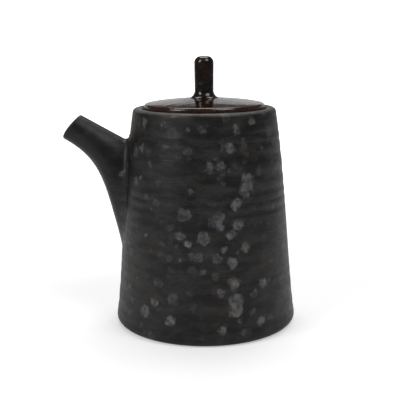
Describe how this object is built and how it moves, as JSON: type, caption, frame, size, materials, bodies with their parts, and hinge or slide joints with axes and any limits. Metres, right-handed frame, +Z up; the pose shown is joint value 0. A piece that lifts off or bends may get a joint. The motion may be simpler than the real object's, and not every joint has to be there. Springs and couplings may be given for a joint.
{
  "type": "lidded ceramic oil dispenser",
  "caption": "Small glazed stoneware pourer for oil or sauce: a tapering pot with an upturned spout on its wall and a low domed lid with an upright finger knob that lifts off.",
  "frame": {"origin": "centre of the flat base, on the pot's axis", "axes": "+Z up along the pot's axis, -X towards the spout, +Y away from the viewer of the pictured side"},
  "size_m": [0.1176, 0.0926, 0.1352],
  "materials": {
    "body_glaze": "matt charcoal glaze with soft grey crystalline spots",
    "lid_glaze": "glossy dark brown glaze"
  },
  "bodies": {
    "pot": {"pot_body": "body_glaze", "pouring_spout": "body_glaze"},
    "cover": {"lid": "lid_glaze", "lid_knob": "lid_glaze"}
  },
  "joints": [
    {"name": "lid_lift", "type": "slide", "parent": "pot", "child": "cover", "axis": [0, 0, 1], "range_m": [0, 0.06]}
  ]
}
